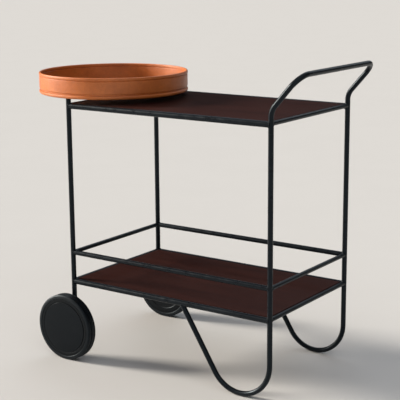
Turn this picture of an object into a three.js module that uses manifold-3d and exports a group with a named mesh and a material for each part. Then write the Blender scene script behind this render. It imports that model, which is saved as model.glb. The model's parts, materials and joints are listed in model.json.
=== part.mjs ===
// A two-shelf bar cart: a round-tube steel frame with two solid wheels at its left end, two bent
// sled legs and a push handle at its right end, two wood shelves with guard rails, and a round
// leather tray that lifts off the left posts.
//
// Millimetres, +Z up. The floor is z = 0, X runs from the wheels to the handle, Y from front to
// back, and the origin is on the floor under the middle of the cart's bounding box.

import * as THREE from 'three';
import { mergeVertices } from 'three/addons/utils/BufferGeometryUtils.js';
import Module from 'manifold-3d';

const wasm = await Module();
wasm.setup();

// ---------------------------------------------------------------- driving dimensions

const postSpacingX = 655;
const postSpacingY = 399;
const fitGap = 0.3;                     // left between pieces that touch

const tubeRadius = 7;                   // posts, legs and handle
const boreRadius = 5.5;
const tubeSides = 16;
const boreSides = 12;
const pinSides = 8;
const seamHeight = 700;                 // where the handle bow plugs into the uprights

const longRailRadius = 8;
const shortRailRadius = 6;
const railWall = 1.5;
const railTops = [732, 229];            // upper and lower shelf frames
const guardHeight = 306;                // axis of the guard rails
const longGuardRadius = 7;
const shortGuardRadius = 6;

const boardThickness = 12;
const boardDrop = 1;                    // board top below the rail tops
const boardGap = 0.5;                   // board edge to rail
const bearerWidth = 24;
const bearerThickness = 4;
const bearerInset = 130;                // from each end of the board to a bearer
const screwInset = 60;                  // from each end of a bearer to a screw

const legBendRadius = 91.5;
const legRise = THREE.MathUtils.degToRad(58);        // the diagonal, above the floor

const handleReach = 79.5;               // from the upright's axis to the grip's
const handleHeight = 848;               // axis of the grip
const handleKneeHeight = 758;
const handleKneeRadius = 43;
const handleCornerRadius = 43;

const wheelRadius = 94.8;
const wheelInner = 22.5;                // from the post's axis to the wheel's inner face
const wheelOuter = 52;
const treadDepth = 10.9;                // thickness of the tyre
const axleRadius = 4;
const runningGap = 0.4;                 // round the axle and beside what turns on it

const trayRadius = 215.3;
const trayBottom = 745.3;
const trayHeight = 59.5;
const trayWall = 6.5;
const trayBaseThickness = 10;
const pegRadius = 4.5;
const pegHeight = 6;

// The origin is midway between the tray's left edge and the grip's right edge.
const leftX = (trayRadius - postSpacingX - handleReach - tubeRadius) / 2;
const rightX = leftX + postSpacingX;
const sideY = postSpacingY / 2;
const sides = [{ name: 'front', sign: -1 }, { name: 'back', sign: 1 }];
const ends = [{ name: 'left', x: leftX }, { name: 'right', x: rightX }];

// ---------------------------------------------------------------- materials

function finish(color, roughness, metalness) {
  return new THREE.MeshStandardMaterial({ color, roughness, metalness });
}

const blackSteel = finish(0x1d2024, 0.45, 0.6);
const zincSteel = finish(0x9a9ca0, 0.35, 0.9);
const darkWood = finish(0x3a2320, 0.35, 0);
const wheelPlastic = finish(0x2a2c2f, 0.4, 0);
const rubber = finish(0x17181a, 0.8, 0);
const bushPlastic = finish(0xd8d5cc, 0.5, 0);
const tanLeather = finish(0xc98055, 0.5, 0);
const brownLeather = finish(0x6b4030, 0.6, 0);

// ---------------------------------------------------------------- shape helpers

function at(x, y, z) {
  return new THREE.Vector3(x, y, z);
}

function ring(radius, count) {
  const points = [];
  for (let i = 0; i < count; i += 1) {
    const angle = (2 * Math.PI * i) / count;
    points.push(new THREE.Vector2(radius * Math.cos(angle), radius * Math.sin(angle)));
  }
  return points;
}

function toSolid(geometry) {
  const bare = geometry.clone();
  bare.deleteAttribute('normal');
  bare.deleteAttribute('uv');
  const merged = mergeVertices(bare, 1e-4);
  return new wasm.Manifold(new wasm.Mesh({
    numProp: 3,
    vertProperties: merged.attributes.position.array,
    triVerts: new Uint32Array(merged.index.array),
  }));
}

function toGeometry(solid) {
  const mesh = solid.getMesh();
  const geometry = new THREE.BufferGeometry();
  geometry.setAttribute('position', new THREE.BufferAttribute(mesh.vertProperties, 3));
  geometry.setIndex(new THREE.BufferAttribute(mesh.triVerts, 1));
  return geometry;
}

function cut(geometry, ...cutters) {
  let solid = toSolid(geometry);
  for (const cutter of cutters) {
    solid = solid.subtract(toSolid(cutter));
  }
  return toGeometry(solid);
}

function join(geometry, ...others) {
  let solid = toSolid(geometry);
  for (const other of others) {
    solid = solid.add(toSolid(other));
  }
  return toGeometry(solid);
}

// A round bar from one point to another.
function rod(from, to, radius, count = tubeSides) {
  const along = to.clone().sub(from);
  const geometry = new THREE.CylinderGeometry(radius, radius, along.length(), count);
  const turn = new THREE.Quaternion().setFromUnitVectors(at(0, 1, 0), along.clone().normalize());
  const middle = from.clone().add(to).multiplyScalar(0.5);
  return geometry.applyQuaternion(turn).translate(middle.x, middle.y, middle.z);
}

// A round tube, open at both ends.
function tube(from, to, radius, bore, count = tubeSides) {
  const past = to.clone().sub(from).normalize();
  const hollow = rod(from.clone().sub(past), to.clone().add(past), bore, boreSides);
  return cut(rod(from, to, radius, count), hollow);
}

// A path of straight runs with round bends: one station at each end of a run and every bendStep
// around a bend, each with its own direction.
class BentPath extends THREE.Curve {
  constructor(corners, radii, bendStep = THREE.MathUtils.degToRad(13)) {
    super();
    const last = corners.length - 1;
    const direction = (i) => corners[i + 1].clone().sub(corners[i]).normalize();
    this.stations = [{ point: corners[0], tangent: direction(0) }];
    for (let i = 1; i < last; i += 1) {
      this.addBend(corners[i], direction(i - 1), direction(i), radii[i - 1], bendStep);
    }
    this.stations.push({ point: corners[last], tangent: direction(last - 1) });
  }

  addBend(corner, incoming, outgoing, radius, bendStep) {
    const turn = incoming.angleTo(outgoing);
    const start = corner.clone().addScaledVector(incoming, -radius * Math.tan(turn / 2));
    const inward = outgoing.clone().addScaledVector(incoming, -Math.cos(turn)).normalize();
    const steps = Math.ceil(turn / bendStep);
    for (let i = 0; i <= steps; i += 1) {
      const angle = (turn * i) / steps;
      const point = start.clone()
        .addScaledVector(incoming, radius * Math.sin(angle))
        .addScaledVector(inward, radius * (1 - Math.cos(angle)));
      const tangent = incoming.clone()
        .multiplyScalar(Math.cos(angle))
        .addScaledVector(inward, Math.sin(angle));
      this.stations.push({ point, tangent });
    }
  }

  get steps() {
    return this.stations.length - 1;
  }

  station(u) {
    return this.stations[Math.round(u * this.steps)];
  }

  getPointAt(u, target = new THREE.Vector3()) {
    return target.copy(this.station(u).point);
  }

  getTangentAt(u, target = new THREE.Vector3()) {
    return target.copy(this.station(u).tangent);
  }
}

function bentTube(path) {
  const section = new THREE.Shape(ring(tubeRadius, tubeSides));
  section.holes.push(new THREE.Path(ring(boreRadius, boreSides)));
  return new THREE.ExtrudeGeometry(section, { steps: path.steps, bevelEnabled: false, extrudePath: path });
}

// A body of revolution about local +Y, from [radius, y] points that close on themselves or run
// from axis to axis.
function turned(points, count) {
  return new THREE.LatheGeometry(points.map(([r, y]) => new THREE.Vector2(r, y)), count);
}

function closed(points) {
  return [...points, points[0]];
}

// The same, about +Z.
function turnedUpright(points, count) {
  return turned(points, count).rotateX(Math.PI / 2);
}

const cart = new THREE.Group();

function add(name, geometry, material, parent = cart) {
  const mesh = new THREE.Mesh(geometry, material);
  mesh.name = name;
  parent.add(mesh);
  return mesh;
}

// ---------------------------------------------------------------- frame

// A cutter that gives a rail's end its saddle against a post at x, y.
function postCutter(x, y) {
  return rod(at(x, y, 0), at(x, y, handleHeight), tubeRadius + fitGap);
}

// A rail between the two posts of one side, along X.
function longRail(name, y, z, radius) {
  const start = at(leftX + shortRailRadius + fitGap, y, z);
  const end = at(rightX - shortRailRadius - fitGap, y, z);
  const rail = tube(start, end, radius, radius - railWall);
  add(name, cut(rail, postCutter(leftX, y), postCutter(rightX, y)), blackSteel);
}

// A rail between the two posts of one end, along Y.
function shortRail(name, x, z, radius) {
  const rail = tube(at(x, -sideY, z), at(x, sideY, z), radius, radius - railWall);
  add(name, cut(rail, postCutter(x, -sideY), postCutter(x, sideY)), blackSteel);
}

function addShelfFrame(prefix, top) {
  for (const { name, sign } of sides) {
    longRail(`${prefix}_${name}_rail`, sign * sideY, top - longRailRadius, longRailRadius);
  }
  for (const { name, x } of ends) {
    shortRail(`${prefix}_${name}_rail`, x, top - shortRailRadius, shortRailRadius);
  }
}

function addGuardRails() {
  for (const { name, sign } of sides) {
    longRail(`guard_${name}_rail`, sign * sideY, guardHeight, longGuardRadius);
  }
  for (const { name, x } of ends) {
    shortRail(`guard_${name}_rail`, x, guardHeight, shortGuardRadius);
  }
}

const postFoot = wheelRadius - 16;      // the lower end of a left post is 16 below the axle
const plugLip = 2;
const postTop = trayBottom - fitGap - plugLip - fitGap;

function addLeftPost({ name, sign }) {
  const y = sign * sideY;
  const post = tube(at(leftX, y, postFoot), at(leftX, y, postTop), tubeRadius, boreRadius);
  const holeEnds = [y - 2 * tubeRadius, y + 2 * tubeRadius];
  const [from, to] = holeEnds.map((end) => at(leftX, end, wheelRadius));
  const axleHole = rod(from, to, axleRadius + runningGap);
  add(`${name}_left_post`, cut(post, axleHole), blackSteel);
}

// A plug's lip, stem and peg, turned in one piece. The lip covers the tube's cut end.
const stemRadius = boreRadius - 0.4;
const stemLength = 10;

function addPostPlugs({ name, sign }) {
  const topPlug = turnedUpright([
    [0, -stemLength], [stemRadius, -stemLength], [stemRadius, fitGap], [tubeRadius, fitGap],
    [tubeRadius, fitGap + plugLip], [pegRadius, fitGap + plugLip],
    [pegRadius, fitGap + plugLip + pegHeight - 1], [pegRadius - 1, fitGap + plugLip + pegHeight],
    [0, fitGap + plugLip + pegHeight],
  ], tubeSides);
  add(`${name}_post_top_plug`, topPlug, rubber).position.set(leftX, sign * sideY, postTop);

  const footPlug = turnedUpright([
    [0, -fitGap - plugLip], [tubeRadius - 1, -fitGap - plugLip], [tubeRadius, -fitGap - plugLip + 1],
    [tubeRadius, -fitGap], [stemRadius, -fitGap], [stemRadius, stemLength], [0, stemLength],
  ], tubeSides);
  add(`${name}_post_foot_plug`, footPlug, rubber).position.set(leftX, sign * sideY, postFoot);
}

// The right upright and its sled leg are one tube: down the post, round the bend that touches the
// floor, and up the diagonal to the underside of the lower long rail.
function addRightUpright({ name, sign }) {
  const y = sign * sideY;
  const bendTurn = Math.PI / 2 + legRise;
  const cornerZ = legBendRadius + tubeRadius - legBendRadius * Math.tan(bendTurn / 2);
  const railZ = railTops[1] - longRailRadius;
  const diagonalRun = (railZ - cornerZ) / Math.tan(legRise);
  const path = new BentPath(
    [at(rightX, y, seamHeight), at(rightX, y, cornerZ), at(rightX - diagonalRun, y, railZ)],
    [legBendRadius],
  );
  const rail = rod(at(leftX, y, railZ), at(rightX - 3 * tubeRadius, y, railZ), longRailRadius + fitGap);
  add(`${name}_right_upright`, cut(bentTube(path), rail), blackSteel);
}

function addHandle() {
  const low = seamHeight + fitGap;
  const gripX = rightX + handleReach;
  const path = new BentPath(
    [
      at(rightX, -sideY, low), at(rightX, -sideY, handleKneeHeight), at(gripX, -sideY, handleHeight),
      at(gripX, sideY, handleHeight), at(rightX, sideY, handleKneeHeight), at(rightX, sideY, low),
    ],
    [handleKneeRadius, handleCornerRadius, handleCornerRadius, handleKneeRadius],
  );
  add('handle_bow', bentTube(path), blackSteel);
}

// The spigot inside the seam between an upright and the handle bow.
const spigotHalf = 30;

function addHandleSpigot({ name, sign }) {
  const middle = at(rightX, sign * sideY, seamHeight);
  const half = at(0, 0, spigotHalf);
  const spigot = rod(middle.clone().sub(half), middle.clone().add(half), stemRadius);
  add(`${name}_handle_spigot`, spigot, zincSteel);
}

// ---------------------------------------------------------------- shelves

const screwRadius = 2;
const screwHoleRadius = 2.5;
const screwHeadRadius = 4;
const screwHeadHeight = 2.4;
const screwDepth = 8;                   // of thread in the board

function addShelf(prefix, railTop) {
  const boardTop = railTop - boardDrop;
  const boardBottom = boardTop - boardThickness;
  const bearerTop = boardBottom - fitGap;
  const bearerBottom = bearerTop - bearerThickness;
  const boardLength = postSpacingX - 2 * (shortRailRadius + boardGap);
  const boardWidth = postSpacingY - 2 * (longRailRadius + boardGap);
  // A bearer's top edges meet the round of the long rails.
  const railDrop = railTop - longRailRadius - bearerTop;
  const railHalfWidth = Math.sqrt((longRailRadius + fitGap) ** 2 - railDrop ** 2);
  const bearerLength = postSpacingY - 2 * (railHalfWidth + fitGap);
  const middleX = (leftX + rightX) / 2;
  const spots = [];

  for (const { name, x } of ends) {
    const bearerX = x + (name === 'left' ? bearerInset : -bearerInset);
    const holes = sides.map(({ sign }) => ({ x: bearerX, y: sign * (boardWidth / 2 - screwInset) }));
    const bearer = new THREE.BoxGeometry(bearerWidth, bearerLength, bearerThickness);
    bearer.translate(bearerX, 0, bearerTop - bearerThickness / 2);
    const screwCutters = holes.map((spot) => rod(
      at(spot.x, spot.y, bearerBottom - 1), at(spot.x, spot.y, bearerTop + 1), screwHoleRadius, pinSides,
    ));
    add(`${prefix}_${name}_bearer`, cut(bearer, ...screwCutters), blackSteel);
    spots.push(...holes);
  }

  const board = new THREE.BoxGeometry(boardLength, boardWidth, boardThickness);
  board.translate(middleX, 0, boardTop - boardThickness / 2);
  const sockets = spots.map((spot) => rod(
    at(spot.x, spot.y, boardBottom - 1), at(spot.x, spot.y, boardBottom + screwDepth + fitGap),
    screwHoleRadius, pinSides,
  ));
  add(`${prefix}_board`, cut(board, ...sockets), darkWood);

  spots.forEach((spot, i) => {
    const head = bearerBottom - fitGap;
    const screw = turnedUpright([
      [0, head - screwHeadHeight], [screwHeadRadius, head - screwHeadHeight], [screwHeadRadius, head],
      [screwRadius, head],
      [screwRadius, boardBottom + screwDepth - 1], [0, boardBottom + screwDepth],
    ], pinSides);
    add(`${prefix}_board_screw_${i + 1}`, screw, zincSteel).position.set(spot.x, spot.y, 0);
  });
}

// ---------------------------------------------------------------- wheels

// Everything on one axle is drawn about local +Y, pointing out from the post's axis, and its group
// is turned round for the front side.
const wheelSides = 36;
const hubSides = 16;
const axleBore = axleRadius + runningGap;
const bushRadius = 7.7;
const hubBore = bushRadius + fitGap;
const hubRadius = 15;
const webInner = wheelInner + 2.5;      // the inner side is plain, with a shallow step at its rim
const webOuter = 34;
const hubInner = wheelInner + 0.5;
const hubOuter = wheelOuter - 10.5;
const bushFlange = 1.2;
const bushFlangeRadius = 11;
const bushMeet = (hubInner + hubOuter) / 2;
const rimRadius = wheelRadius - treadDepth - fitGap;
const coverSeatRadius = 73.6;
const coverRadius = coverSeatRadius - fitGap;
const rimBore = 68;
const rimBack = wheelOuter - 3.3;       // the seat that the cover lies on
const bossRadius = 9;
const boltHeadRadius = 7;               // to the hexagon's corners
const boltHeadHeight = 4.5;
const washerRadius = 9;
const washerThickness = 1.2;
const nutRadius = 7.5;                  // to the hexagon's corners
const nutHeight = 3.6;
const bushOuterFace = hubOuter + fitGap + bushFlange;
const washerInner = bushOuterFace + runningGap;
const nutInner = washerInner + washerThickness + fitGap;

function tyreGeometry() {
  const bore = wheelRadius - treadDepth;
  const tread = wheelRadius;
  const groove = tread - 2;
  return turned(closed([
    [bore, wheelInner], [tread - 1.5, wheelInner], [tread, wheelInner + 1.5],
    [tread, wheelOuter - 12.5], [groove, wheelOuter - 11.7], [groove, wheelOuter - 10.3],
    [tread, wheelOuter - 9.5], [tread, wheelOuter - 1.5], [tread - 1.5, wheelOuter], [bore, wheelOuter],
  ]), wheelSides);
}

function coreGeometry() {
  return turned(closed([
    [hubBore, hubInner], [hubRadius, hubInner], [hubRadius, webInner], [rimBore, webInner],
    [rimBore, wheelInner + 1], [rimRadius, wheelInner + 1], [rimRadius, wheelOuter - 1],
    [coverSeatRadius, wheelOuter - 1], [coverSeatRadius, rimBack], [rimBore, rimBack],
    [rimBore, webOuter], [hubRadius, webOuter], [hubRadius, hubOuter], [hubBore, hubOuter],
  ]), wheelSides);
}

// The plain outer disc, with a ring behind it that snaps into the rim.
function coverGeometry() {
  const face = wheelOuter - 0.3;
  const back = rimBack + fitGap;
  const snapOuter = rimBore - 0.8;
  return turned([
    [0, back], [snapOuter - 3, back], [snapOuter - 3, back - 4], [snapOuter, back - 4], [snapOuter, back],
    [coverRadius, back], [coverRadius, face - 1], [coverRadius - 1, face], [0, face],
  ], wheelSides);
}

function bushGeometry(flangeFace, innerEnd) {
  const inward = Math.sign(innerEnd - flangeFace);
  const shoulder = flangeFace + inward * bushFlange;
  const points = [
    [axleBore, flangeFace], [bushFlangeRadius, flangeFace], [bushFlangeRadius, shoulder],
    [bushRadius, shoulder], [bushRadius, innerEnd], [axleBore, innerEnd],
  ];
  return turned(closed(inward > 0 ? points : points.reverse()), hubSides);
}

// The bolt's head bears on the inner side of the post.
function boltGeometry() {
  const headFace = -tubeRadius - fitGap;
  const head = new THREE.CylinderGeometry(boltHeadRadius, boltHeadRadius, boltHeadHeight, 6);
  head.translate(0, headFace - boltHeadHeight / 2, 0);
  const shank = rod(at(0, headFace - 1, 0), at(0, nutInner + nutHeight - fitGap, 0), axleRadius, hubSides);
  return join(head, shank);
}

// The boss welded to the post's outer side, saddle-cut to fit it.
function bossGeometry() {
  const end = hubInner - fitGap - bushFlange - runningGap;
  const boss = rod(at(0, 3, 0), at(0, end, 0), bossRadius, hubSides);
  const bore = rod(at(0, 2, 0), at(0, end + 1, 0), axleBore, hubSides);
  const post = rod(at(0, 0, -2 * bossRadius), at(0, 0, 2 * bossRadius), tubeRadius + fitGap);
  return cut(boss, bore, post);
}

function ringGeometry(bore, outer, from, to) {
  return turned(closed([[bore, from], [outer, from], [outer, to], [bore, to]]), hubSides);
}

function nutGeometry() {
  const nut = new THREE.CylinderGeometry(nutRadius, nutRadius, nutHeight, 6);
  nut.translate(0, nutInner + nutHeight / 2, 0);
  const boreEnds = [nutInner - 1, nutInner + nutHeight + 1].map((end) => at(0, end, 0));
  return cut(nut, rod(...boreEnds, axleRadius + fitGap, hubSides));
}

function addWheelSide({ name, sign }) {
  const side = new THREE.Group();
  side.position.set(leftX, sign * sideY, wheelRadius);
  side.rotation.z = sign < 0 ? Math.PI : 0;
  cart.add(side);

  add(`${name}_wheel_tyre`, tyreGeometry(), rubber, side);
  add(`${name}_wheel_core`, coreGeometry(), wheelPlastic, side);
  add(`${name}_wheel_cover`, coverGeometry(), wheelPlastic, side);
  const innerFlange = hubInner - fitGap - bushFlange;
  add(`${name}_wheel_inner_bush`, bushGeometry(innerFlange, bushMeet - fitGap), bushPlastic, side);
  add(`${name}_wheel_outer_bush`, bushGeometry(bushOuterFace, bushMeet + fitGap), bushPlastic, side);
  add(`${name}_axle_bolt`, boltGeometry(), zincSteel, side);
  add(`${name}_axle_boss`, bossGeometry(), blackSteel, side);
  const washer = ringGeometry(axleBore, washerRadius, washerInner, washerInner + washerThickness);
  add(`${name}_axle_washer`, washer, zincSteel, side);
  add(`${name}_axle_nut`, nutGeometry(), zincSteel, side);
}

// ---------------------------------------------------------------- tray

const traySides = 48;
const linerThickness = 3;

function addTray() {
  const tray = new THREE.Group();
  tray.position.set(leftX, 0, trayBottom);
  cart.add(tray);

  const hoopRadius = trayRadius - 1;
  const hoopBore = hoopRadius - trayWall;
  const hoopFoot = trayBaseThickness + fitGap;
  const base = turnedUpright([
    [0, 0], [trayRadius - 3, 0], [trayRadius, 2.5], [trayRadius, trayBaseThickness - 2],
    [trayRadius - 2, trayBaseThickness], [0, trayBaseThickness],
  ], traySides);
  const pegHoles = sides.map(({ sign }) => rod(
    at(0, sign * sideY, -1), at(0, sign * sideY, pegHeight + 1), pegRadius + fitGap,
  ));
  add('tray_base', cut(base, ...pegHoles), tanLeather, tray);

  const hoop = turnedUpright(closed([
    [hoopBore, hoopFoot], [hoopRadius - 2, hoopFoot], [hoopRadius - 2, hoopFoot + 2],
    [hoopRadius, hoopFoot + 4], [hoopRadius, trayHeight - 2.5], [hoopRadius - 2.5, trayHeight],
    [hoopBore + 2, trayHeight], [hoopBore, trayHeight - 2],
  ]), traySides);
  add('tray_hoop', hoop, tanLeather, tray);

  const linerRadius = hoopBore - 1;
  const linerTop = hoopFoot + linerThickness;
  const liner = turnedUpright([
    [0, hoopFoot], [linerRadius, hoopFoot], [linerRadius, linerTop], [0, linerTop],
  ], traySides);
  add('tray_liner', liner, brownLeather, tray);
}

// ---------------------------------------------------------------- assembly

addShelfFrame('top', railTops[0]);
addShelfFrame('lower', railTops[1]);
addGuardRails();
addHandle();
for (const side of sides) {
  addLeftPost(side);
  addPostPlugs(side);
  addRightUpright(side);
  addHandleSpigot(side);
  addWheelSide(side);
}
addShelf('top', railTops[0]);
addShelf('lower', railTops[1]);
addTray();

export default cart;
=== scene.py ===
"""The looks of a two-shelf bar cart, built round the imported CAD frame. Metres, +Z up."""

import json
import math

import bmesh
import bpy
from mathutils import Matrix, Vector


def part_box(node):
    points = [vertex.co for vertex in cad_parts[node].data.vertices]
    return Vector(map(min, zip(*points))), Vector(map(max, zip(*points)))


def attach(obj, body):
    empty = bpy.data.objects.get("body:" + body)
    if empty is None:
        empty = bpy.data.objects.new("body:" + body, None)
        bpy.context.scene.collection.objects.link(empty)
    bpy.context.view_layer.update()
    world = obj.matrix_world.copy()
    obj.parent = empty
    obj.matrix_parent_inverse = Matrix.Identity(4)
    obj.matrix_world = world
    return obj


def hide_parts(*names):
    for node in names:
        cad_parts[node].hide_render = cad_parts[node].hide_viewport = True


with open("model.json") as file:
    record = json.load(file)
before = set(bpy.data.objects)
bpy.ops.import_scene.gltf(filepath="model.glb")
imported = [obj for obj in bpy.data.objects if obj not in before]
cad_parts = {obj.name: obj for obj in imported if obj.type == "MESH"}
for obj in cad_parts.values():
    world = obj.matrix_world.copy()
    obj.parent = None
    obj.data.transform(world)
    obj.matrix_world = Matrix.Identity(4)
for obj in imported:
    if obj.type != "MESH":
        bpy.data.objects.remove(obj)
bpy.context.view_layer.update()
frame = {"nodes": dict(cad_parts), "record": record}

MM = 0.001
FIT_GAP = 0.3 * MM            # between neighbouring pieces
X = Vector((1, 0, 0))
Y = Vector((0, 1, 0))
Z = Vector((0, 0, 1))
SIDES = {"front": -1, "back": 1}
ENDS = ("left", "right")


# ---------------------------------------------------------------- sizes, read from the frame

def middle(node):
    low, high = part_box(node)
    return (low + high) / 2


def extent(node):
    low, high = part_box(node)
    return high - low


TUBE_RADIUS = extent("front_left_post").x / 2
LEFT_X = middle("front_left_post").x
RIGHT_X = middle("front_handle_spigot").x
SIDE_Y = middle("back_left_post").y
SEAM_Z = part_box("handle_bow")[0].z
POST_FOOT_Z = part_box("front_left_post")[0].z
POST_TOP_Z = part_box("front_left_post")[1].z
GRIP_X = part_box("handle_bow")[1].x - TUBE_RADIUS
GRIP_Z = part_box("handle_bow")[1].z - TUBE_RADIUS
KNEE_Z = 758 * MM             # where the handle's upright and its slope would meet without a bend
KNEE_RADIUS = 43 * MM         # bend radii are to the tube's axis
CORNER_RADIUS = 43 * MM
LEG_BEND_RADIUS = 91.5 * MM
LEG_RISE = math.radians(58)   # of a leg's diagonal above level

WHEEL_RADIUS = extent("front_wheel_tyre").z / 2
WHEEL_INNER = -SIDE_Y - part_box("front_wheel_tyre")[1].y
WHEEL_OUTER = -SIDE_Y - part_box("front_wheel_tyre")[0].y
RIM_RADIUS = extent("front_wheel_core").z / 2
COVER_RADIUS = extent("front_wheel_cover").z / 2

TRAY_RADIUS = extent("tray_base").x / 2
TRAY_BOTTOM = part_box("tray_base")[0].z
TRAY_BASE_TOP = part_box("tray_base")[1].z
TRAY_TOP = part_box("tray_hoop")[1].z
HOOP_RADIUS = extent("tray_hoop").x / 2
HOOP_WALL = 6.5 * MM          # thickness of the tray's wall
LINER_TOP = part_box("tray_liner")[1].z


# ---------------------------------------------------------------- materials

# Sockets of Blender's Mix node, whose names repeat for each type of data.
MIX_FACTOR = 0
MIX_VECTOR_A, MIX_VECTOR_B, MIX_VECTOR_RESULT = 4, 5, 1
MIX_COLOUR_A, MIX_COLOUR_B, MIX_COLOUR_RESULT = 6, 7, 2


class Graph:
    """A material's node tree with a Principled shader, and short calls for the nodes used here."""

    def __init__(self, name, roughness, metallic=0.0, specular=0.5, tint=(1.0, 1.0, 1.0)):
        self.material = bpy.data.materials.new(name)
        self.material.use_nodes = True
        self.tree = self.material.node_tree
        self.shader = self.tree.nodes["Principled BSDF"]
        self.shader.inputs["Roughness"].default_value = roughness
        self.shader.inputs["Metallic"].default_value = metallic
        self.shader.inputs["Specular IOR Level"].default_value = specular
        self.shader.inputs["Specular Tint"].default_value = (*tint, 1.0)
        self.place = self.tree.nodes.new("ShaderNodeTexCoord").outputs["Object"]    # metres

    def link(self, output, node, socket):
        self.tree.links.new(output, node.inputs[socket])

    def stretched(self, scale):
        node = self.tree.nodes.new("ShaderNodeMapping")
        node.inputs["Scale"].default_value = scale
        self.link(self.place, node, "Vector")
        return node.outputs["Vector"]

    def noise(self, scale, detail=4.0, roughness=0.55, distortion=0.0, vector=None):
        node = self.tree.nodes.new("ShaderNodeTexNoise")
        node.inputs["Scale"].default_value = scale
        node.inputs["Detail"].default_value = detail
        node.inputs["Roughness"].default_value = roughness
        node.inputs["Distortion"].default_value = distortion
        self.link(vector or self.place, node, "Vector")
        return node.outputs["Fac"]

    def cells(self, scale, feature="DISTANCE_TO_EDGE", vector=None):
        node = self.tree.nodes.new("ShaderNodeTexVoronoi")
        node.feature = feature
        node.inputs["Scale"].default_value = scale
        self.link(vector or self.place, node, "Vector")
        return node.outputs["Distance"]

    def spread(self, value, low, high, to_low=0.0, to_high=1.0):
        node = self.tree.nodes.new("ShaderNodeMapRange")
        node.inputs["From Min"].default_value = low
        node.inputs["From Max"].default_value = high
        node.inputs["To Min"].default_value = to_low
        node.inputs["To Max"].default_value = to_high
        self.link(value, node, "Value")
        return node.outputs["Result"]

    def combine(self, operation, a, b):
        node = self.tree.nodes.new("ShaderNodeMath")
        node.operation = operation
        for socket, value in enumerate((a, b)):
            if isinstance(value, (int, float)):
                node.inputs[socket].default_value = value
            else:
                self.tree.links.new(value, node.inputs[socket])
        return node.outputs["Value"]

    def blend(self, factor, a, b):
        """Colour a where factor is 0 and colour b where it is 1."""
        node = self.tree.nodes.new("ShaderNodeMix")
        node.data_type = "RGBA"
        self.tree.links.new(factor, node.inputs[MIX_FACTOR])
        for socket, value in ((MIX_COLOUR_A, a), (MIX_COLOUR_B, b)):
            if isinstance(value, tuple):
                node.inputs[socket].default_value = (*value, 1.0)
            else:
                self.tree.links.new(value, node.inputs[socket])
        return node.outputs[MIX_COLOUR_RESULT]

    def warped(self, scale, amount):
        """The place, pushed about by a noise of this scale, for outlines that aren't straight."""
        swirl = self.tree.nodes.new("ShaderNodeTexNoise")
        swirl.inputs["Scale"].default_value = scale
        self.link(self.place, swirl, "Vector")
        node = self.tree.nodes.new("ShaderNodeMix")
        node.data_type = "VECTOR"
        node.inputs[MIX_FACTOR].default_value = amount
        self.tree.links.new(self.place, node.inputs[MIX_VECTOR_A])
        self.tree.links.new(swirl.outputs["Color"], node.inputs[MIX_VECTOR_B])
        return node.outputs[MIX_VECTOR_RESULT]

    def colour(self, output):
        self.link(output, self.shader, "Base Color")

    def roughness(self, output):
        self.link(output, self.shader, "Roughness")

    def bump(self, height, distance, strength=1.0, below=None):
        node = self.tree.nodes.new("ShaderNodeBump")
        node.inputs["Distance"].default_value = distance
        node.inputs["Strength"].default_value = strength
        self.link(height, node, "Height")
        if below is not None:
            self.link(below, node, "Normal")
        self.link(node.outputs["Normal"], self.shader, "Normal")
        return node.outputs["Normal"]


PAINTED_COOL_REFLECTION_TINT = (0.70, 0.88, 1.0)       # painted reflection: a bluish tint on the reflections of the black finishes, standing in for cool light


def powder_coat(name):
    """Satin black powder coat: fine orange peel, faint cloudiness and rubbed patches."""
    # Its reflections carry a painted bluish tint of cool light.
    g = Graph(name, roughness=0.38, specular=0.22, tint=PAINTED_COOL_REFLECTION_TINT)
    cloud = g.spread(g.noise(9, detail=3), 0.35, 0.65)
    base = g.blend(cloud, (0.0028, 0.0036, 0.0052), (0.0052, 0.0063, 0.0086))
    rubbed = g.spread(g.noise(38, detail=8, roughness=0.7), 0.60, 0.74)
    g.colour(g.blend(rubbed, base, (0.014, 0.0144, 0.0155)))
    g.roughness(g.spread(g.noise(55, detail=5), 0.3, 0.7, 0.25, 0.38))
    g.bump(g.noise(1500, detail=2), distance=0.08 * MM, strength=0.7)
    return g.material


def dark_wood(name):
    """Dark stained veneer with its grain along X: broad soft figure, fibres and open pores."""
    g = Graph(name, roughness=0.5, specular=0.025)
    figure = g.noise(2.4, detail=5, roughness=0.6, distortion=1.6, vector=g.stretched((0.55, 7.0, 7.0)))
    fibre = g.noise(34, detail=7, roughness=0.65, vector=g.stretched((0.8, 26.0, 26.0)))
    pore = g.spread(g.noise(60, detail=3, vector=g.stretched((1.6, 42.0, 42.0))), 0.60, 0.70)
    tone = g.combine("ADD", g.combine("MULTIPLY", figure, 0.6), g.combine("MULTIPLY", fibre, 0.6))
    streak = g.blend(g.spread(tone, 0.35, 0.85), (0.0145, 0.0050, 0.0040), (0.048, 0.0165, 0.0130))
    patch = g.spread(g.noise(3.2, detail=2, vector=g.stretched((0.6, 2.2, 2.2))), 0.35, 0.7)
    warm = g.blend(g.combine("MULTIPLY", patch, 0.6), streak, (0.032, 0.0105, 0.0082))
    g.colour(g.blend(pore, warm, (0.0060, 0.0030, 0.0027)))
    g.roughness(g.spread(fibre, 0.25, 0.75, 0.34, 0.48))
    fine = g.bump(fibre, distance=0.1 * MM, strength=0.35)
    g.bump(g.combine("SUBTRACT", 1.0, pore), distance=0.18 * MM, strength=0.5, below=fine)
    return g.material


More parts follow.
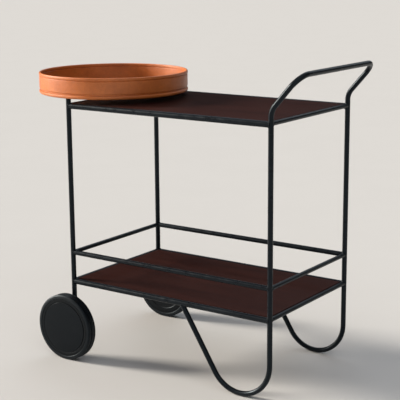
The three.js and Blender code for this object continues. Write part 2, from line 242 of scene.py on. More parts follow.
def leather(name, dark, light, crease, roughness):
    """Vegetable-tanned leather: pebbled grain, pores, pull-up clouds, and creases darkened with painted
    shade.
    """
    g = Graph(name, roughness=roughness, specular=0.54)
    cloud = g.spread(g.noise(11, detail=5, roughness=0.6), 0.30, 0.70)
    base = g.blend(cloud, dark, light)
    mottle = g.spread(g.noise(70, detail=6, roughness=0.7), 0.35, 0.75)
    toned = g.blend(g.combine("MULTIPLY", mottle, 0.35), base, crease)
    grain = g.spread(g.cells(620, vector=g.warped(160, 0.012)), 0.0, 0.16)
    # Painted shade: the creases between the grain's pebbles, where the bump below sinks, are darkened
    # towards the crease colour.
    g.colour(g.blend(g.combine("MULTIPLY", g.spread(grain, 1.0, 0.0), 0.30), toned, crease))
    low, high = roughness - 0.08, roughness + 0.10
    g.roughness(g.spread(g.noise(90, detail=4), 0.3, 0.7, low, high))
    pebble = g.bump(grain, distance=0.16 * MM, strength=0.55)
    g.bump(g.noise(1900, detail=3), distance=0.05 * MM, strength=0.5, below=pebble)
    return g.material


def rubber(name, tone, roughness):
    """Black rubber with a dusty bloom and a fine moulded skin."""
    # Its reflections carry a painted bluish tint of cool light.
    g = Graph(name, roughness=roughness, specular=0.24, tint=PAINTED_COOL_REFLECTION_TINT)
    dust = g.spread(g.noise(26, detail=7, roughness=0.65), 0.42, 0.78)
    g.colour(g.blend(dust, tone, tuple(1.5 * c + 0.0015 for c in tone)))
    g.roughness(g.spread(g.noise(120, detail=4), 0.3, 0.7, roughness - 0.10, roughness + 0.10))
    g.bump(g.noise(1100, detail=4), distance=0.1 * MM, strength=0.6)
    return g.material


def moulded(name, dark, light, roughness):
    """Moulded plastic with a faint cloud of colour, a spark-eroded skin and light scuffs."""
    # Its reflections carry a painted bluish tint of cool light.
    g = Graph(name, roughness=roughness, specular=0.13, tint=PAINTED_COOL_REFLECTION_TINT)
    base = g.blend(g.spread(g.noise(7, detail=3), 0.35, 0.65), dark, light)
    scuff = g.spread(g.noise(48, detail=9, roughness=0.75), 0.60, 0.76)
    g.colour(g.blend(scuff, base, tuple(1.2 * c + 0.002 for c in light)))
    g.roughness(g.spread(g.noise(64, detail=5), 0.3, 0.7, roughness - 0.05, roughness + 0.09))
    g.bump(g.noise(2100, detail=2), distance=0.04 * MM, strength=0.6)
    return g.material


def zinc(name):
    """Zinc-plated steel with a crystalline sheen."""
    g = Graph(name, roughness=0.36, metallic=1.0)
    crystal = g.cells(900, feature="F1")
    g.colour(g.blend(g.spread(crystal, 0.0, 0.8), (0.62, 0.63, 0.65), (0.42, 0.43, 0.46)))
    g.roughness(g.spread(g.noise(300, detail=5), 0.3, 0.7, 0.26, 0.48))
    g.bump(g.noise(1700, detail=3), distance=0.04 * MM, strength=0.5)
    return g.material


def thread(name):
    """Waxed linen thread."""
    g = Graph(name, roughness=0.55, specular=0.35)
    fibre = g.noise(2600, detail=3)
    g.colour(g.blend(g.spread(fibre, 0.3, 0.7), (0.62, 0.42, 0.25), (0.80, 0.60, 0.40)))
    g.bump(fibre, distance=0.12 * MM, strength=0.8)
    return g.material


FRAME_STEEL = powder_coat("frame_steel_powder_coat")
WOOD = dark_wood("dark_wood_veneer")
# Each leather's crease colour darkens a random mottle, and is painted as shade into the grain's creases.
TAN = leather(
    "tan_leather_grain", dark=(0.55, 0.136, 0.024), light=(0.72, 0.206, 0.045),
    crease=(0.30, 0.068, 0.012), roughness=0.39,
)
BROWN = leather(
    "brown_leather_grain", dark=(0.130, 0.044, 0.024), light=(0.200, 0.072, 0.038),
    crease=(0.06, 0.020, 0.011), roughness=0.58,
)
TYRE = rubber("tyre_rubber_skin", (0.0032, 0.0040, 0.0054), 0.46)
PLUG = rubber("plug_rubber_skin", (0.0070, 0.0072, 0.0080), 0.55)
WHEEL = moulded("wheel_plastic_skin", (0.0036, 0.0040, 0.0048), (0.0054, 0.0058, 0.0066), 0.42)
WHEEL_FACE = moulded("wheel_face_skin", (0.0038, 0.0045, 0.0058), (0.0054, 0.0063, 0.0078), 0.36)
BUSH = moulded("bush_plastic_skin", (0.60, 0.57, 0.50), (0.70, 0.67, 0.60), 0.50)
ZINC = zinc("zinc_steel_plating")
THREAD = thread("waxed_thread")

FINISHES = {
    "frame_steel": FRAME_STEEL, "dark_wood": WOOD, "tan_leather": TAN, "brown_leather": BROWN,
    "tyre_rubber": TYRE, "plug_rubber": PLUG, "wheel_plastic": WHEEL, "wheel_face": WHEEL_FACE,
    "bush_plastic": BUSH, "zinc_steel": ZINC,
}


def dress_cad_nodes():
    """Gives every CAD node the finish of its material slot."""
    for entry in frame["record"]["subparts"]:
        materials = frame["nodes"][entry["node"]].data.materials
        materials.clear()
        materials.append(FINISHES[entry["material_slot"]])


# ---------------------------------------------------------------- mesh helpers

def piece(name, shape, body, slot_name, replaced=(), material=None, sharp=38):
    """Makes a named object of (vertices, faces), with its finish and body, and hides the CAD nodes it
    stands for.
    """
    mesh = bpy.data.meshes.new(name)
    mesh.from_pydata([tuple(v) for v in shape[0]], [], shape[1])
    work = bmesh.new()
    work.from_mesh(mesh)
    bmesh.ops.recalc_face_normals(work, faces=work.faces)
    work.to_mesh(mesh)
    work.free()
    mesh.shade_smooth()
    mesh.set_sharp_from_angle(angle=math.radians(sharp))
    mesh.materials.append(material or FINISHES[slot_name])
    thing = bpy.data.objects.new(name, mesh)
    bpy.context.scene.collection.objects.link(thing)
    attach(thing, body)
    if replaced:
        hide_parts(*replaced)
    return thing


def merged(shapes):
    """Several (vertices, faces) shapes as one."""
    vertices, faces = [], []
    for more, their_faces in shapes:
        start = len(vertices)
        vertices.extend(more)
        faces.extend([tuple(i + start for i in face) for face in their_faces])
    return vertices, faces


def rounded(points, steps=4):
    """Outline points (u, v, corner radius) as 2-D vectors, each corner with a radius made an arc."""
    outline = []
    count = len(points)
    for i, (u, v, radius) in enumerate(points):
        corner = Vector((u, v))
        if radius <= 0:
            outline.append(corner)
            continue
        back = (Vector(points[i - 1][:2]) - corner).normalized()
        ahead = (Vector(points[(i + 1) % count][:2]) - corner).normalized()
        half = back.angle(ahead) / 2
        centre = corner + (back + ahead).normalized() * (radius / math.sin(half))
        start = corner + back * (radius / math.tan(half)) - centre
        end = corner + ahead * (radius / math.tan(half)) - centre
        sweep = math.pi - 2 * half
        for k in range(steps + 1):
            angle = sweep * k / steps
            arm = (start * math.sin(sweep - angle) + end * math.sin(angle)) / math.sin(sweep)
            outline.append(centre + arm)
    return outline


def square_to(axis):
    """Two directions that make a right-angled set with axis."""
    helper = Z if abs(axis.z) < 0.9 else X
    first = helper.cross(axis).normalized()
    return first, axis.cross(first)


ON_AXIS = 0.0001 * MM         # a point with a smaller radius is on the axis


def revolve(outline, origin, axis, count):
    """Turns (radius, height) points about axis. An outline that stays off the axis closes on itself."""
    u, v = square_to(axis)
    vertices, rings = [], []
    for radius, height in outline:
        start = len(vertices)
        if radius < ON_AXIS:
            vertices.append(origin + axis * height)
            rings.append([start] * count)
            continue
        for k in range(count):
            angle = math.tau * k / count
            vertices.append(origin + axis * height + (u * math.cos(angle) + v * math.sin(angle)) * radius)
        rings.append(list(range(start, start + count)))
    pairs = list(zip(rings, rings[1:]))
    if outline[0][0] > ON_AXIS and outline[-1][0] > ON_AXIS:
        pairs.append((rings[-1], rings[0]))
    faces = []
    for low, high in pairs:
        for k in range(count):
            after = (k + 1) % count
            corners = list(dict.fromkeys((low[k], low[after], high[after], high[k])))
            if len(corners) > 2:
                faces.append(tuple(corners))
    return vertices, faces


def loft(rings, capped=True):
    """Joins rings of equal length into a skin, with a flat cap on the first and the last."""
    count = len(rings[0])
    vertices = [point for ring in rings for point in ring]
    faces = []
    for i in range(len(rings) - 1):
        for k in range(count):
            after = (k + 1) % count
            faces.append((i * count + k, i * count + after, (i + 1) * count + after, (i + 1) * count + k))
    if capped:
        faces.append(tuple(reversed(range(count))))
        faces.append(tuple(range(len(vertices) - count, len(vertices))))
    return vertices, faces


def bent_path(corners, radii, step=math.radians(4)):
    """Stations (point, direction) along straight runs joined by round bends."""
    runs = [(b - a).normalized() for a, b in zip(corners, corners[1:])]
    stations = [(corners[0], runs[0])]
    for corner, incoming, outgoing, radius in zip(corners[1:], runs, runs[1:], radii):
        turn = incoming.angle(outgoing)
        start = corner - incoming * (radius * math.tan(turn / 2))
        inward = (outgoing - incoming * math.cos(turn)).normalized()
        steps = math.ceil(turn / step)
        for k in range(steps + 1):
            angle = turn * k / steps
            sideways = inward * (radius * (1 - math.cos(angle)))
            point = start + incoming * (radius * math.sin(angle)) + sideways
            stations.append((point, incoming * math.cos(angle) + inward * math.sin(angle)))
    stations.append((corners[-1], runs[-1]))
    return stations


def tube_rings(stations, radius, count=40):
    """A ring of points round each station, turned as little as possible from one to the next."""
    normal = square_to(stations[0][1])[0]
    rings = []
    for point, direction in stations:
        normal = (normal - direction * normal.dot(direction)).normalized()
        side = direction.cross(normal)
        turns = [math.tau * k / count for k in range(count)]
        rings.append([point + (normal * math.cos(a) + side * math.sin(a)) * radius for a in turns])
    return rings


def softened_ends(rings, stations, trim):
    """Adds a small round to the first and last ring of a tube, as a cut end that has been deburred."""
    def shrunk(ring, point, direction, sign):
        return [point + (p - point) * 0.90 + direction * (sign * trim) for p in ring]
    first = shrunk(rings[0], *stations[0], -1)
    last = shrunk(rings[-1], *stations[-1], 1)
    return [first, *rings, last]


# ---------------------------------------------------------------- frame

SADDLE_LEAST = 2.5 * MM       # a rail wider than its post stops this far from the post's axis
WELD_RADIUS = 1.5 * MM
welds = []


def weld_bead(curve):
    """A bead round a closed curve of points, with two ripples out of step so that none repeats."""
    count = len(curve)
    rings = []
    for i, point in enumerate(curve):
        ahead = (curve[(i + 1) % count] - curve[i - 1]).normalized()
        normal, side = square_to(ahead)
        radius = WELD_RADIUS * (1 + 0.12 * math.sin(i * 2.4) + 0.06 * math.sin(i * 0.9))
        turns = [math.tau * k / 8 for k in range(8)]
        rings.append([point + (normal * math.cos(a) + side * math.sin(a)) * radius for a in turns])
    rings.append(rings[0])
    return loft(rings, capped=False)


def rail(name, start, end, posts):
    """A straight round rail between two posts, saddle-cut to each and welded all round."""
    radius = min(extent(name)) / 2
    along = (end - start).normalized()
    rings = tube_rings([(start, along), (end, along)], radius)
    for ring, post, sign in ((rings[0], posts[0], 1), (rings[1], posts[1], -1)):
        across = along.cross(Z)
        for k, point in enumerate(ring):
            aside = (point - post).dot(across)
            reach = math.sqrt(max(TUBE_RADIUS ** 2 - aside ** 2, SADDLE_LEAST ** 2))
            level = post + across * aside + Z * (point.z - post.z)
            ring[k] = level + along * (sign * reach)
        welds.append(weld_bead(ring))
    piece(f"{name}_tube", loft(rings), "root", "frame_steel", [name])


def long_rail(name, sign):
    z = middle(name).z
    ends = [Vector((x, sign * SIDE_Y, z)) for x in (LEFT_X, RIGHT_X)]
    rail(name, *ends, ends)


def short_rail(name, x):
    z = middle(name).z
    ends = [Vector((x, y, z)) for y in (-SIDE_Y, SIDE_Y)]
    rail(name, *ends, ends)


def build_rails():
    for level in ("top", "lower", "guard"):
        for side, sign in SIDES.items():
            long_rail(f"{level}_{side}_rail", sign)
        for end, x in zip(ENDS, (LEFT_X, RIGHT_X)):
            short_rail(f"{level}_{end}_rail", x)


def build_left_post(side, sign):
    y = sign * SIDE_Y
    stations = [(Vector((LEFT_X, y, z)), Z) for z in (POST_FOOT_Z + 0.5 * MM, POST_TOP_Z - 0.5 * MM)]
    rings = softened_ends(tube_rings(stations, TUBE_RADIUS), stations, 0.5 * MM)
    piece(f"{side}_left_post_tube", loft(rings), "root", "frame_steel", [f"{side}_left_post"])


def leg_path(y, rail_z):
    """Down the upright, round the floor bend and up the diagonal to the long rail's axis."""
    half_turn = (math.pi / 2 + LEG_RISE) / 2
    corner_z = LEG_BEND_RADIUS + TUBE_RADIUS - LEG_BEND_RADIUS * math.tan(half_turn)
    top_x = RIGHT_X - (rail_z - corner_z) / math.tan(LEG_RISE)
    seam = Vector((RIGHT_X, y, SEAM_Z - FIT_GAP))
    corner = Vector((RIGHT_X, y, corner_z))
    return bent_path([seam, corner, Vector((top_x, y, rail_z))], [LEG_BEND_RADIUS])


def build_upright(side, sign):
    y = sign * SIDE_Y
    rail_name = f"lower_{side}_rail"
    rail_z = middle(rail_name).z
    rail_radius = extent(rail_name).z / 2
    stations = leg_path(y, rail_z)
    rings = tube_rings(stations, TUBE_RADIUS)
    direction = stations[-1][1]
    for k, point in enumerate(rings[-1]):
        drop = math.sqrt(rail_radius ** 2 - (point.y - y) ** 2)
        rings[-1][k] = point + direction * ((rail_z - drop - point.z) / direction.z)
    welds.append(weld_bead(rings[-1]))
    first = stations[0]
    rings.insert(0, [first[0] + (p - first[0]) * 0.95 - first[1] * 0.1 * MM for p in rings[0]])
    piece(f"{side}_right_upright_tube", loft(rings), "root", "frame_steel", [f"{side}_right_upright"])


def build_handle():
    knees = [Vector((RIGHT_X, y, KNEE_Z)) for y in (-SIDE_Y, SIDE_Y)]
    feet = [Vector((RIGHT_X, y, SEAM_Z)) for y in (-SIDE_Y, SIDE_Y)]
    grips = [Vector((GRIP_X, y, GRIP_Z)) for y in (-SIDE_Y, SIDE_Y)]
    corners = [feet[0], knees[0], grips[0], grips[1], knees[1], feet[1]]
    stations = bent_path(corners, [KNEE_RADIUS, CORNER_RADIUS, CORNER_RADIUS, KNEE_RADIUS])
    rings = tube_rings(stations, TUBE_RADIUS)
    piece("handle_bow_tube", loft(rings), "root", "frame_steel", ["handle_bow"])


PLUG_STEM_RADIUS = 5 * MM
PLUG_STEM = 9 * MM            # how far a plug reaches into its tube
PLUG_CLEARANCE = 0.2 * MM     # under a plug's lip, and the height of a foot plug's crown
PLUG_FACETS = 48
PEG_RADIUS = 4.4 * MM
PEG_HEIGHT = 6 * MM


def plug_outline(lip, peg):
    """A plug's outline from its stem's end to its top, heights from the tube's cut end."""
    radius = TUBE_RADIUS
    points = [
        (0, -PLUG_STEM, 0), (PLUG_STEM_RADIUS, -PLUG_STEM, 0.6 * MM), (PLUG_STEM_RADIUS, PLUG_CLEARANCE, 0),
        (radius, PLUG_CLEARANCE, 0.2 * MM), (radius, lip, 0.9 * MM),
    ]
    if peg:
        points.append((PEG_RADIUS, lip, 0.4 * MM))
        points.append((PEG_RADIUS, lip + peg, 1.2 * MM))
        points.append((0, lip + peg, 0))
    else:
        points.append((0, lip + PLUG_CLEARANCE, 0))
    return rounded(points)


def build_plugs(side, sign):
    y = sign * SIDE_Y
    top_outline = plug_outline(lip=2.2 * MM, peg=PEG_HEIGHT)
    top = revolve(top_outline, Vector((LEFT_X, y, POST_TOP_Z)), Z, PLUG_FACETS)
    piece(f"{side}_post_top_plug_body", top, "root", "plug_rubber", [f"{side}_post_top_plug"])
    foot_outline = plug_outline(lip=2.0 * MM, peg=0)
    foot = revolve(foot_outline, Vector((LEFT_X, y, POST_FOOT_Z)), -Z, PLUG_FACETS)
    piece(f"{side}_post_foot_plug_body", foot, "root", "plug_rubber", [f"{side}_post_foot_plug"])


# ---------------------------------------------------------------- shelves

def soft_rectangle(length, width, corner, inset, z, centre, steps=6):
    """A rectangle with round corners, drawn in from the full size by inset, at height z."""
    half_x = length / 2 - inset
    half_y = width / 2 - inset
    radius = max(corner - inset, 0.2 * MM)
    points = [(sx * half_x, sy * half_y, radius) for sx, sy in ((-1, -1), (1, -1), (1, 1), (-1, 1))]
    return [Vector((centre.x + p.x, centre.y + p.y, z)) for p in rounded(points, steps)]


def slab(node, corner, arris):
    """A flat board or bar with round corners and rounded long edges, filling a CAD node's box."""
    low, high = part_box(node)
    centre = (low + high) / 2
    size = high - low
    rings = []
    for k in range(5):
        angle = math.pi / 2 * k / 4
        inset = arris * (1 - math.sin(angle))
        rings.append((inset, low.z + arris * (1 - math.cos(angle))))
    rings += [(inset, low.z + high.z - z) for inset, z in reversed(rings)]
    return loft([soft_rectangle(size.x, size.y, corner, inset, z, centre) for inset, z in rings])


SCREW_RADIUS = 2 * MM
SCREW_HEAD_DEPTH = 2.4 * MM
SCREW_FACETS = 40
SOCKET_RADIUS = 1.5 * MM
SOCKET_DEPTH = 1.5 * MM


def screw_shape(node):
    """A pan-head screw that points up, with a socket in its head and a pointed tip."""
    spot = middle(node)
    head = extent(node).x / 2
    length = extent(node).z
    outline = rounded([
        (0, SOCKET_DEPTH, 0), (SOCKET_RADIUS, SOCKET_DEPTH, 0), (SOCKET_RADIUS + 0.1 * MM, 0, 0.15 * MM),
        (head, 0, 1.3 * MM), (head, SCREW_HEAD_DEPTH, 0.2 * MM), (SCREW_RADIUS, SCREW_HEAD_DEPTH, 0),
        (SCREW_RADIUS, length - 1.5 * MM, 0), (0, length, 0),
    ])
    return revolve(outline, Vector((spot.x, spot.y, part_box(node)[0].z)), Z, SCREW_FACETS)


def bearer_welds(node):
    """Plain beads where a bearer's two ends meet the long rails."""
    low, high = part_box(node)
    for y in (low.y, high.y):
        row = [Vector((low.x + 2 * MM + k * 2 * MM, y, high.z - 1.5 * MM)) for k in range(11)]
        welds.append(loft(tube_rings([(point, X) for point in row], WELD_RADIUS, 10)))


def build_shelf(level):
    board = f"{level}_board"
    panel = slab(board, corner=5 * MM, arris=1.2 * MM)
    piece(f"{board}_panel", panel, "root", "dark_wood", [board])
    for end in ENDS:
        name = f"{level}_{end}_bearer"
        bar = slab(name, corner=2 * MM, arris=0.8 * MM)
        piece(f"{name}_bar", bar, "root", "frame_steel", [name])
        bearer_welds(name)
    for number in range(1, 5):
        name = f"{board}_screw_{number}"
        piece(f"{name}_body", screw_shape(name), "root", "zinc_steel", [name])


# ---------------------------------------------------------------- wheels

def tyre_outline():
    """A sloping side wall, a round shoulder, and a broad and a narrow groove round the tread."""
    bore = RIM_RADIUS + 0.25 * MM
    tread = WHEEL_RADIUS
    inner, outer = WHEEL_INNER, WHEEL_OUTER
    points = [(bore, inner + 0.6 * MM, 0), (bore + 1.2 * MM, inner, 0.4 * MM), (tread, inner, 2.2 * MM)]
    # Each groove: its middle, half its width and its depth.
    narrow_groove = (inner + 6 * MM, 0.9 * MM, 1.4 * MM)
    broad_groove = (outer - 12 * MM, 1.6 * MM, 3.0 * MM)
    for groove, half, depth in (narrow_groove, broad_groove):
        points.append((tread, groove - half - 0.4 * MM, 0.4 * MM))
        points.append((tread - depth, groove - half, 0.3 * MM))
        points.append((tread - depth, groove + half, 0.3 * MM))
        points.append((tread, groove + half + 0.4 * MM, 0.4 * MM))
    points.append((tread, outer - 2.6 * MM, 2.2 * MM))
    points.append((tread - 3.6 * MM, outer - 0.9 * MM, 1.2 * MM))
    points.append((bore + 1.0 * MM, outer, 0.6 * MM))
    points.append((bore, outer - 1.2 * MM, 0))
    return rounded(points)


# Heights on a wheel are measured outwards from the post's axis.
WHEEL_FACETS = 160
HUB_BORE = 8 * MM
HUB_RADIUS = 15 * MM
HUB_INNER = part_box("back_wheel_core")[0].y - SIDE_Y
HUB_OUTER = WHEEL_OUTER - 10.5 * MM
WEB_INNER = WHEEL_INNER + 2.5 * MM
WEB_OUTER = 34 * MM
RIM_BORE = 68 * MM
COVER_SEAT = 73.6 * MM
COVER_SET_BACK = 0.3 * MM     # of the cover's face from the tyre's outer side
RIM_BACK = WHEEL_OUTER - 3.3 * MM
BOLT_FACETS = 48
BOLT_HEAD = 4.5 * MM
BOSS_FACETS = 64
BOSS_RADIUS = 9 * MM
BOSS_BORE = 4.4 * MM
BOSS_END = HUB_INNER - 1.9 * MM
BOSS_CHAMFER = 0.8 * MM
BOSS_LEAST = 3 * MM           # the boss's saddle cut stays this far from the post's axis


def core_outline():
    """The wheel's core: a hub, a web that is plain on its inner side, and a rim that seats the cover."""
    rim_edge = WHEEL_OUTER - 1 * MM
    return rounded([
        (HUB_BORE, HUB_INNER, 0), (HUB_RADIUS, HUB_INNER, 0.8 * MM),
        (HUB_RADIUS + 0.5 * MM, WEB_INNER, 0.8 * MM), (RIM_BORE - 1.5 * MM, WEB_INNER, 1.5 * MM),
        (RIM_BORE, WHEEL_INNER + 1 * MM, 0.6 * MM),
        (RIM_RADIUS, WHEEL_INNER + 1 * MM, 0.8 * MM), (RIM_RADIUS, rim_edge, 0.7 * MM),
        (COVER_SEAT + 2.4 * MM, rim_edge, 1 * MM), (COVER_SEAT, rim_edge - 0.7 * MM, 0.3 * MM),
        (COVER_SEAT, RIM_BACK, 0), (RIM_BORE, RIM_BACK, 0.3 * MM), (RIM_BORE, WEB_OUTER, 2 * MM),
        (HUB_RADIUS, WEB_OUTER, 2 * MM), (HUB_RADIUS, HUB_OUTER, 0.6 * MM), (HUB_BORE, HUB_OUTER, 0),
    ])


def cover_outline():
    """The plain disc, with a ring behind it that snaps into the rim."""
    face = WHEEL_OUTER - COVER_SET_BACK
    back = RIM_BACK + FIT_GAP
    snap = RIM_BORE - 0.8 * MM
    inside = snap - 3 * MM
    return rounded([
        (0, back, 0), (inside, back, 0), (inside, back - 4 * MM, 0), (snap, back - 4 * MM, 0.6 * MM),
        (snap, back, 0), (COVER_RADIUS, back, 0), (COVER_RADIUS, face - 0.4 * MM, 0.15 * MM),
        (COVER_RADIUS - 0.4 * MM, face, 0.2 * MM), (0, face, 0),
    ])


def hex_bolt(origin, outward, name):
    """The axle bolt: a chamfered hexagon head on the post's inner side, and its shank."""
    head_near = -TUBE_RADIUS - FIT_GAP
    head_far = head_near - BOLT_HEAD
    tip = head_far + extent(name).y
    sections = (    # height, radius in millimetres, and whether it is round or a hexagon
        (head_far, 5.0, True), (head_far, 6.0, True), (head_far + 0.9 * MM, 7.0, False),
        (head_near, 7.0, False), (head_near, 4.0, True), (tip - 0.8 * MM, 4.0, True), (tip, 3.2, True),
    )
    u, v = square_to(outward)
    rings = []
    for height, reach, is_round in sections:
        ring = []
        for k in range(BOLT_FACETS):
            angle = math.tau * k / BOLT_FACETS
            flat = math.cos(math.pi / 6) / math.cos((angle % (math.pi / 3)) - math.pi / 6)
            radius = reach * MM * (1 if is_round else flat)
            spoke = u * math.cos(angle) + v * math.sin(angle)
            ring.append(origin + outward * height + spoke * radius)
        rings.append(ring)
    return loft(rings)


def boss_shape(origin, outward):
    """The round boss between the post and the wheel, saddle-cut to the post."""
    sections = (    # radius and height
        (BOSS_RADIUS, 0), (BOSS_RADIUS, BOSS_END - BOSS_CHAMFER), (BOSS_RADIUS - BOSS_CHAMFER, BOSS_END),
        (BOSS_BORE, BOSS_END), (BOSS_BORE, 0),
    )
    u, v = square_to(outward)
    rings = []
    for reach, height in sections:
        ring = []
        for k in range(BOSS_FACETS):
            angle = math.tau * k / BOSS_FACETS
            spoke = u * math.cos(angle) + v * math.sin(angle)
            aside = abs(spoke.x) * reach
            saddle = math.sqrt(max(TUBE_RADIUS ** 2 - aside ** 2, BOSS_LEAST ** 2))
            ring.append(origin + spoke * reach + outward * max(height, saddle))
        rings.append(ring)
    welds.append(weld_bead(rings[0]))
    return loft(rings + [rings[0]], capped=False)


def build_wheel(side, sign):
    body = f"{side}_wheel"
    origin = Vector((LEFT_X, sign * SIDE_Y, WHEEL_RADIUS))
    outward = Y * sign
    tyre = revolve(tyre_outline(), origin, outward, WHEEL_FACETS)
    piece(f"{side}_tyre_ring", tyre, body, "tyre_rubber", [f"{side}_wheel_tyre"])
    core = revolve(core_outline(), origin, outward, WHEEL_FACETS)
    piece(f"{side}_wheel_core_moulding", core, body, "wheel_plastic", [f"{side}_wheel_core"])
    cover = revolve(cover_outline(), origin, outward, WHEEL_FACETS)
    piece(f"{side}_wheel_cover_disc", cover, body, "wheel_face", [f"{side}_wheel_cover"])
    bolt = hex_bolt(origin, outward, f"{side}_axle_bolt")
    piece(f"{side}_axle_bolt_body", bolt, "root", "zinc_steel", [f"{side}_axle_bolt"])
    boss = boss_shape(origin, outward)
    piece(f"{side}_axle_boss_body", boss, "root", "frame_steel", [f"{side}_axle_boss"])


# ---------------------------------------------------------------- tray

TRAY_FACETS = 192
RIM_ROUND = 3.1 * MM          # corner radius of the rolled edge
CREASE_DROP = 9.5 * MM        # from the rim's top to the crease under the rolled edge
WALL_SET_BACK = 0.5 * MM      # these three are from the rim's outside: to the wall's side,
GROOVE_SET_BACK = 2.7 * MM    # to the groove's floor,
LIP_SET_BACK = 0.8 * MM       # and to the base lip
BASE_GROOVE = 3.0 * MM        # height of the groove between the wall and the base lip
PEG_HOLE = 4.8 * MM
SEAM_WIDTH = 0.6 * MM
SEAM_DEPTH = 0.8 * MM
SEAM_HALF = 2.4 * MM          # from the butt seam to a row of stitches
STITCH_PITCH = 5.5 * MM
STITCH_LENGTH = 3.9 * MM
STITCH_THICKNESS = 0.55 * MM


def tray_origin():
    return Vector((LEFT_X, 0, 0))


def base_shape():
    """The leather-covered base board, whose edge makes the lip under the groove."""
    edge = TRAY_RADIUS - LIP_SET_BACK
    outline = rounded([
        (0, TRAY_BOTTOM, 0), (edge - 3 * MM, TRAY_BOTTOM, 2.0 * MM), (edge, TRAY_BOTTOM + 3 * MM, 2.0 * MM),
        (edge, TRAY_BASE_TOP - 2.2 * MM, 1.6 * MM), (edge - 2.2 * MM, TRAY_BASE_TOP - 0.2 * MM, 1.2 * MM),
        (edge - 5 * MM, TRAY_BASE_TOP, 0.5 * MM), (0, TRAY_BASE_TOP, 0),
    ])
    return revolve(outline, tray_origin(), Z, TRAY_FACETS)


def cut(target, shape, name):
    """Takes a closed (vertices, faces) shape away from a piece."""
    mesh = bpy.data.meshes.new(name)
    mesh.from_pydata([tuple(p) for p in shape[0]], [], shape[1])
    cutter = bpy.data.objects.new(name, mesh)
    bpy.context.scene.collection.objects.link(cutter)
    saw = target.modifiers.new(name, "BOOLEAN")
    saw.operation = "DIFFERENCE"
    saw.object = cutter
    bpy.context.view_layer.update()
    result = bpy.data.meshes.new_from_object(target.evaluated_get(bpy.context.evaluated_depsgraph_get()))
    target.modifiers.clear()
    target.data = result
    bpy.data.objects.remove(cutter)


def cut_peg_holes(base):
    """Drills the two blind holes that sit over the pegs on the left posts."""
    for side, sign in SIDES.items():
        spot = Vector((LEFT_X, sign * SIDE_Y, TRAY_BOTTOM))
        hole = tube_rings([(spot - Z * 2 * MM, Z), (spot + Z * 7 * MM, Z)], PEG_HOLE)
        cut(base, loft(hole), f"{side}_peg_hole")


def cut_butt_seam(hoop):
    """Parts the wall's leather along the upright line at the back where its two ends meet."""
    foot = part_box("tray_hoop")[0].z - 1 * MM
    head = TRAY_TOP - CREASE_DROP + 0.4 * MM
    face = HOOP_RADIUS - WALL_SET_BACK
    rings = []
    for z in (foot, head):
        corners = ((-1, face - SEAM_DEPTH), (1, face - SEAM_DEPTH), (1, face + 3 * MM), (-1, face + 3 * MM))
        rings.append([Vector((LEFT_X + x * SEAM_WIDTH / 2, y, z)) for x, y in corners])
    cut(hoop, loft(rings), "butt_seam")


def hoop_outline():
    """The wall: a foot set back over the groove, a slightly full side, a crease and a rolled rim."""
    outer = HOOP_RADIUS
    inner = HOOP_RADIUS - HOOP_WALL
    side = outer - WALL_SET_BACK
    groove = outer - GROOVE_SET_BACK
    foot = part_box("tray_hoop")[0].z
    crease = TRAY_TOP - CREASE_DROP
    return rounded([
        (inner, foot, 0), (groove, foot, 0), (groove, foot + BASE_GROOVE, 0.5 * MM),
        (side, foot + BASE_GROOVE + 1.8 * MM, 1.2 * MM), (side, crease - 1.6 * MM, 0.8 * MM),
        (outer - 2.2 * MM, crease, 0.3 * MM), (outer, crease + 1.8 * MM, 1.4 * MM),
        (outer, TRAY_TOP, RIM_ROUND), (inner, TRAY_TOP, RIM_ROUND),
        (inner, crease + 1.4 * MM, 1.0 * MM), (inner + 1.6 * MM, crease, 0.3 * MM),
        (inner + 0.6 * MM, crease - 1.2 * MM, 0.6 * MM),
    ], steps=6)


def liner_shape():
    """The lining: a soft flat pad whose edge turns down against the wall."""
    radius = extent("tray_liner").x / 2
    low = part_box("tray_liner")[0].z
    outline = rounded([
        (0, low, 0), (radius, low, 0.3 * MM), (radius, LINER_TOP - 0.8 * MM, 0.6 * MM),
        (radius - 5 * MM, LINER_TOP, 3 * MM), (0, LINER_TOP, 0),
    ])
    return revolve(outline, tray_origin(), Z, TRAY_FACETS)


def stitch(centre, along, outward):
    """One saddle stitch, its ends drawn into the leather."""
    up = outward.cross(along)
    rings = []
    for t, thick in ((-0.5, 0.35), (-0.36, 0.85), (0, 1.0), (0.36, 0.85), (0.5, 0.35)):
        sink = outward * (STITCH_THICKNESS * (0.55 - 2.6 * t * t))
        point = centre + along * (t * STITCH_LENGTH) + sink
        turns = [math.tau * k / 6 for k in range(6)]
        size = STITCH_THICKNESS * thick
        rings.append([point + (outward * math.cos(a) * 0.7 + up * math.sin(a)) * size for a in turns])
    return loft(rings)


def seam_stitches():
    """Two upright rows of stitches beside the butt seam where the wall's leather meets, at the back."""
    shapes = []
    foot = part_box("tray_hoop")[0].z + 6 * MM
    head = TRAY_TOP - CREASE_DROP - 3.5 * MM
    count = round((head - foot) / STITCH_PITCH)
    for aside in (-1, 1):
        angle = math.pi / 2 + aside * SEAM_HALF / HOOP_RADIUS
        outward = Vector((math.cos(angle), math.sin(angle), 0))
        spot = tray_origin() + outward * (HOOP_RADIUS - WALL_SET_BACK - 0.05 * MM)
        for k in range(count):
            shapes.append(stitch(spot + Z * (foot + (k + 0.5) * (head - foot) / count), Z, outward))
    return merged(shapes)


def build_tray():
    base = piece("tray_base_lip", base_shape(), "tray", "tan_leather", ["tray_base"])
    cut_peg_holes(base)
    wall = revolve(hoop_outline(), tray_origin(), Z, TRAY_FACETS)
    hoop = piece("tray_hoop_wall", wall, "tray", "tan_leather", ["tray_hoop"])
    cut_butt_seam(hoop)
    piece("tray_liner_pad", liner_shape(), "tray", "brown_leather", ["tray_liner"])
    piece("tray_seam_stitches", seam_stitches(), "tray", "tan_leather", material=THREAD)


# ---------------------------------------------------------------- stage, light and camera

FLOOR_REACH = 30.0            # metres from the middle to each side


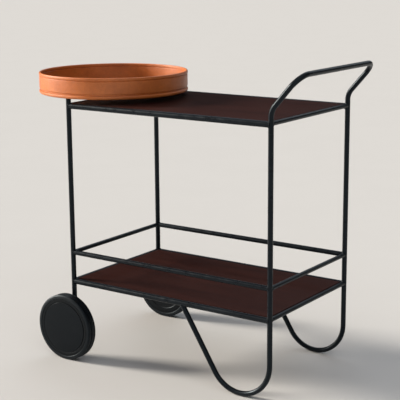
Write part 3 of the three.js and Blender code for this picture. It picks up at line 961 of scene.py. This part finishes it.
def build_floor():
    corners = [Vector((x, y, 0)) * FLOOR_REACH for x, y in ((-1, -1), (1, -1), (1, 1), (-1, 1))]
    mesh = bpy.data.meshes.new("studio_floor")
    mesh.from_pydata([tuple(c) for c in corners], [], [(0, 1, 2, 3)])
    g = Graph("studio_floor_paint", roughness=0.8, specular=0.0)
    g.colour(g.blend(g.noise(3, detail=3), (0.60, 0.588, 0.572), (0.62, 0.608, 0.592)))
    mesh.materials.append(g.material)
    floor = bpy.data.objects.new("studio_floor", mesh)
    bpy.context.scene.collection.objects.link(floor)


def sun_light(name, source, energy, spread, colour):
    """A broad far light whose rays come from the direction of source, spread over some degrees."""
    data = bpy.data.lights.new(name, "SUN")
    data.energy = energy
    data.angle = math.radians(spread)
    data.color = colour
    lamp = bpy.data.objects.new(name, data)
    lamp.rotation_mode = "QUATERNION"
    lamp.rotation_quaternion = (-Vector(source)).to_track_quat("-Z", "Y")
    bpy.context.scene.collection.objects.link(lamp)


def build_lights():
    """Low warm light from the left, weak cool fills from the other sides, and a pale backdrop."""
    sun_light("key_sun", (-0.90, -0.30, 0.38), energy=5.2, spread=14, colour=(1.0, 0.935, 0.84))
    sun_light("side_sun", (-0.90, -0.42, 0.12), energy=1.5, spread=24, colour=(1.0, 0.93, 0.85))
    sun_light("sky_sun", (0.10, -0.20, 1.0), energy=1.1, spread=90, colour=(0.96, 0.97, 1.0))
    sun_light("front_sun", (0.60, -0.70, 0.45), energy=0.50, spread=60, colour=(0.96, 0.97, 1.0))
    sun_light("rim_sun", (-0.40, 0.60, 0.70), energy=0.35, spread=34, colour=(0.84, 0.92, 1.0))
    sun_light("grip_sun", (0.02, 0.80, 0.57), energy=0.45, spread=44, colour=(0.86, 0.93, 1.0))
    world = bpy.data.worlds.new("studio")
    world.use_nodes = True
    backdrop = world.node_tree.nodes["Background"]
    backdrop.inputs["Color"].default_value = (1.0, 0.955, 0.91, 1.0)
    backdrop.inputs["Strength"].default_value = 0.66
    world.cycles_visibility.diffuse = False
    world.cycles_visibility.glossy = False
    bpy.context.scene.world = world


CAMERA_PLACE = Vector((1.8227, -2.5444, 1.1383))
CAMERA_TURN = math.radians(35.04)     # round from square on to the front, towards the handle end
CAMERA_TILT = math.radians(12.37)     # downwards
CAMERA_ROLL = math.radians(-0.43)
CAMERA_LENS = 102.0                   # millimetres
CAMERA_SENSOR = 36.0                  # millimetres


def build_camera():
    ahead = Vector((-math.sin(CAMERA_TURN), math.cos(CAMERA_TURN), 0)) * math.cos(CAMERA_TILT)
    ahead -= Z * math.sin(CAMERA_TILT)
    level = Vector((math.cos(CAMERA_TURN), math.sin(CAMERA_TURN), 0))
    right = Matrix.Rotation(-CAMERA_ROLL, 3, ahead) @ level
    up = right.cross(ahead)
    data = bpy.data.cameras.new("camera")
    data.lens = CAMERA_LENS
    data.sensor_width = CAMERA_SENSOR
    camera = bpy.data.objects.new("camera", data)
    turn = Matrix((right, up, -ahead)).transposed()
    camera.matrix_world = Matrix.Translation(CAMERA_PLACE) @ turn.to_4x4()
    bpy.context.scene.collection.objects.link(camera)
    bpy.context.scene.camera = camera
    bpy.context.scene.view_settings.view_transform = "Standard"


# ---------------------------------------------------------------- the whole cart

dress_cad_nodes()
build_rails()
build_handle()
for side_name, side_sign in SIDES.items():
    build_left_post(side_name, side_sign)
    build_upright(side_name, side_sign)
    build_plugs(side_name, side_sign)
    build_wheel(side_name, side_sign)
build_shelf("top")
build_shelf("lower")
piece("frame_welds", merged(welds), "root", "frame_steel")
build_tray()
build_floor()
build_lights()
build_camera()
